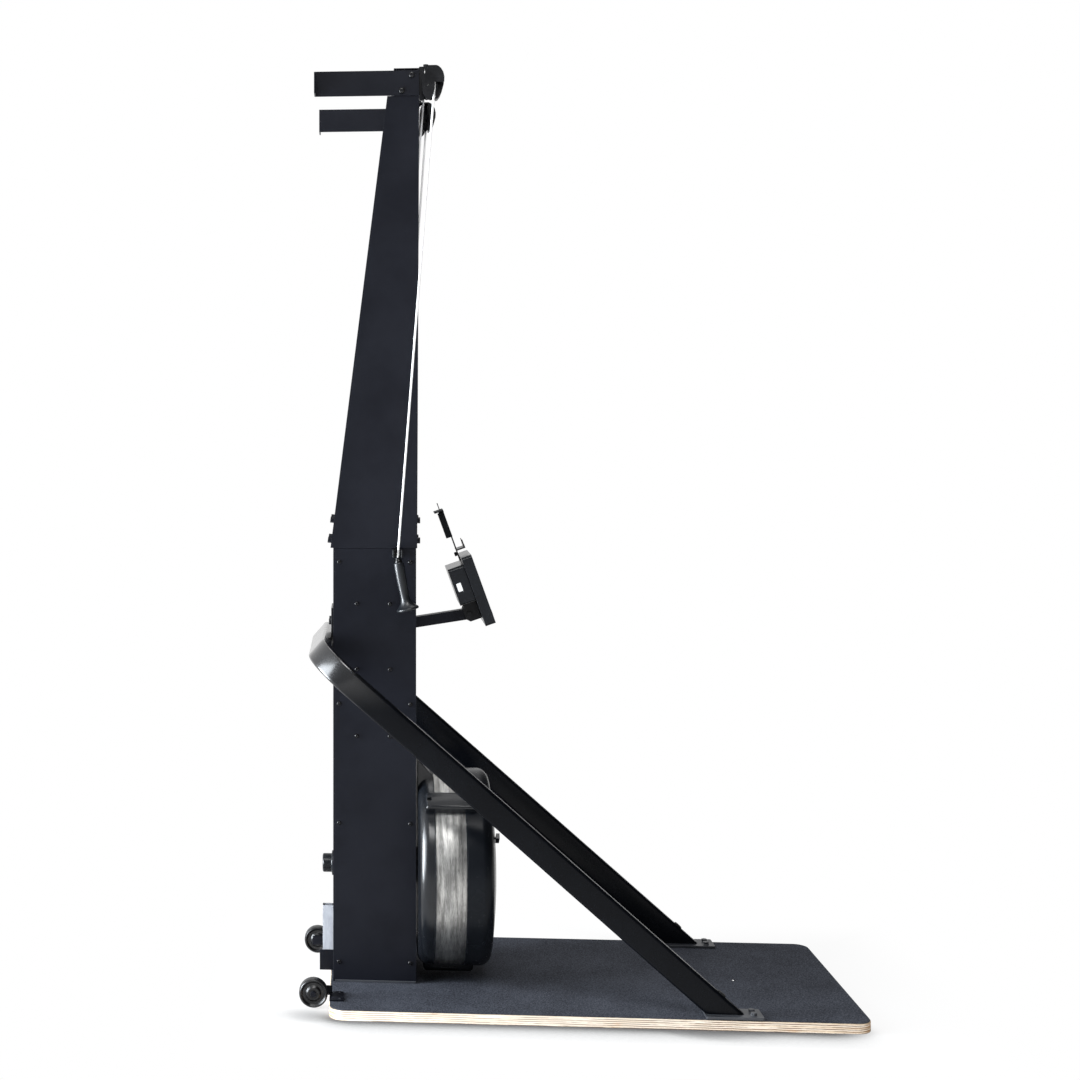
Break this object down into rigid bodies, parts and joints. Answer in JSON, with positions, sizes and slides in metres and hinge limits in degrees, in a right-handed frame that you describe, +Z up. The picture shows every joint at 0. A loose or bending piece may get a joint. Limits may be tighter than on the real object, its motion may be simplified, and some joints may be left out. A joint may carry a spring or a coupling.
{
  "type": "ski trainer machine",
  "caption": "Standing ski trainer: board, column and flared tower with two top pulleys, pull handles on cords, caged fan brake, tilting monitor and stabiliser hoop.",
  "frame": {"origin": "centre of the flat underside of the base board", "axes": "+X from the column towards the user, +Y to the far side in the picture, +Z up the tower"},
  "size_m": [1.2695, 0.602, 2.1691],
  "materials": {
    "plywood": "bare edge, clear sealed",
    "grip_surface": "fine textured anti-slip film",
    "black_paint": "fine satin powder coat",
    "dark_steel": "black zinc",
    "bare_steel": "ground",
    "perforated_steel": "fine perforated sheet",
    "black_plastic": "fine moulded texture",
    "black_rubber": "smooth, slightly glossy",
    "white_cord": "braided",
    "screen_glass": "clear window over a dark display"
  },
  "bodies": {
    "frame": {"base_board": "plywood", "column_frame": "black_paint", "column_panel_far": "black_paint", "column_panel_near": "black_paint", "cord_inner_far": "white_cord", "cord_inner_near": "white_cord", "cord_outer_far": "white_cord", "cord_outer_near": "white_cord", "fan_band": "perforated_steel", "fan_front_shell": "black_plastic", "fan_rear_shell": "black_plastic", "foot_plate_far": "black_paint", "foot_plate_near": "black_paint", "front_bearing": "dark_steel", "grip_mat": "grip_surface", "handle_dock_far": "dark_steel", "handle_dock_near": "dark_steel", "head_beam": "black_paint", "hoop_mount": "dark_steel", "monitor_arm": "black_paint", "monitor_pivot_bolt": "dark_steel", "pulley_axle_far": "dark_steel", "pulley_axle_near": "dark_steel", "pulley_yoke_far": "black_paint", "pulley_yoke_near": "black_paint", "rear_bearing_cap": "black_plastic", "rear_foot_bracket": "black_paint", "recoil_spring_case": "dark_steel", "stabiliser_hoop": "black_paint", "tower_front_cover": "black_paint", "tower_shell": "black_paint", "wall_bracket_far": "black_paint", "wall_bracket_near": "black_paint", "wheel_bracket_far": "black_paint", "wheel_bracket_near": "black_paint"},
    "fan": {"fan_rotor": "black_plastic", "fan_axle": "bare_steel"},
    "drum_near": {"cord_drum_near": "black_plastic"},
    "drum_far": {"cord_drum_far": "black_plastic"},
    "pulley_near": {"pulley_near": "black_plastic"},
    "pulley_far": {"pulley_far": "black_plastic"},
    "handle_near": {"handle_grip_near": "black_rubber", "handle_ferrule_near": "dark_steel"},
    "handle_far": {"handle_grip_far": "black_rubber", "handle_ferrule_far": "dark_steel"},
    "wheel_near": {"wheel_near": "black_rubber"},
    "wheel_far": {"wheel_far": "black_rubber"},
    "monitor": {"monitor_clevis": "dark_steel", "monitor_front_case": "black_plastic", "monitor_back_case": "black_plastic", "monitor_screen": "screen_glass", "phone_stand": "dark_steel"},
    "button_left": {"button_left": "black_rubber"},
    "button_middle": {"button_middle": "black_rubber"},
    "button_right": {"button_right": "black_rubber"},
    "phone_clamp": {"phone_clamp": "black_plastic"},
    "phone_knob": {"phone_knob": "black_plastic"},
    "damper": {"damper_ring": "black_plastic"}
  },
  "joints": [
    {"name": "fan_spin", "type": "hinge", "parent": "frame", "child": "fan", "pos_m": [-0.3, 0, 0.282], "axis": [1, 0, 0], "continuous": true},
    {"name": "handle_near_pull", "type": "slide", "parent": "frame", "child": "handle_near", "axis": [0, 0, -1], "range_m": [0, 0.36], "deforming": ["cord_outer_near"]},
    {"name": "drum_near_spin", "type": "hinge", "parent": "frame", "child": "drum_near", "pos_m": [-0.52, 0, 0.282], "axis": [1, 0, 0], "range_deg": [-5, 930]},
    {"name": "pulley_near_spin", "type": "hinge", "parent": "frame", "child": "pulley_near", "pos_m": [-0.371, -0.217, 2.1227], "axis": [0.9336, 0.3584, 0], "range_deg": [-5, 700]},
    {"name": "wheel_near_spin", "type": "hinge", "parent": "frame", "child": "wheel_near", "pos_m": [-0.637, -0.212, 0.0345], "axis": [0, 1, 0], "continuous": true},
    {"name": "handle_far_pull", "type": "slide", "parent": "frame", "child": "handle_far", "axis": [0, 0, -1], "range_m": [0, 0.36], "deforming": ["cord_outer_far"]},
    {"name": "drum_far_spin", "type": "hinge", "parent": "frame", "child": "drum_far", "pos_m": [-0.466, 0, 0.282], "axis": [1, 0, 0], "range_deg": [-930, 5]},
    {"name": "pulley_far_spin", "type": "hinge", "parent": "frame", "child": "pulley_far", "pos_m": [-0.371, 0.217, 2.1227], "axis": [0.9336, -0.3584, 0], "range_deg": [-700, 5]},
    {"name": "wheel_far_spin", "type": "hinge", "parent": "frame", "child": "wheel_far", "pos_m": [-0.637, 0.212, 0.0345], "axis": [0, 1, 0], "continuous": true},
    {"name": "monitor_tilt", "type": "hinge", "parent": "frame", "child": "monitor", "pos_m": [-0.268, 0, 0.8894], "axis": [0, 1, 0], "range_deg": [-6, 25]},
    {"name": "phone_clamp_slide", "type": "slide", "parent": "monitor", "child": "phone_clamp", "axis": [-0.3387, 0, 0.9409], "range_m": [0, 0.03], "stiffness_N_per_m": 150, "springref_m": -0.01},
    {"name": "phone_knob_turn", "type": "hinge", "parent": "monitor", "child": "phone_knob", "pos_m": [-0.30011, 0, 1.03174], "axis": [0.9409, 0, 0.3387], "range_deg": [0, 180]},
    {"name": "damper_turn", "type": "hinge", "parent": "frame", "child": "damper", "pos_m": [-0.225, 0, 0.282], "axis": [-1, 0, 0], "range_deg": [0, 48]},
    {"name": "button_left_press", "type": "slide", "parent": "monitor", "child": "button_left", "axis": [-0.9409, 0, -0.3387], "range_m": [0, 0.0012], "stiffness_N_per_m": 800, "springref_m": -0.0005},
    {"name": "button_middle_press", "type": "slide", "parent": "monitor", "child": "button_middle", "axis": [-0.9409, 0, -0.3387], "range_m": [0, 0.0012], "stiffness_N_per_m": 800, "springref_m": -0.0005},
    {"name": "button_right_press", "type": "slide", "parent": "monitor", "child": "button_right", "axis": [-0.9409, 0, -0.3387], "range_m": [0, 0.0012], "stiffness_N_per_m": 800, "springref_m": -0.0005}
  ],
  "couplings": [
    {"joint": "drum_near_spin", "follows": "handle_near_pull", "rad_per_m": 43.86},
    {"joint": "pulley_near_spin", "follows": "handle_near_pull", "rad_per_m": 33.333},
    {"joint": "drum_far_spin", "follows": "handle_far_pull", "rad_per_m": -43.86},
    {"joint": "pulley_far_spin", "follows": "handle_far_pull", "rad_per_m": -33.333}
  ]
}
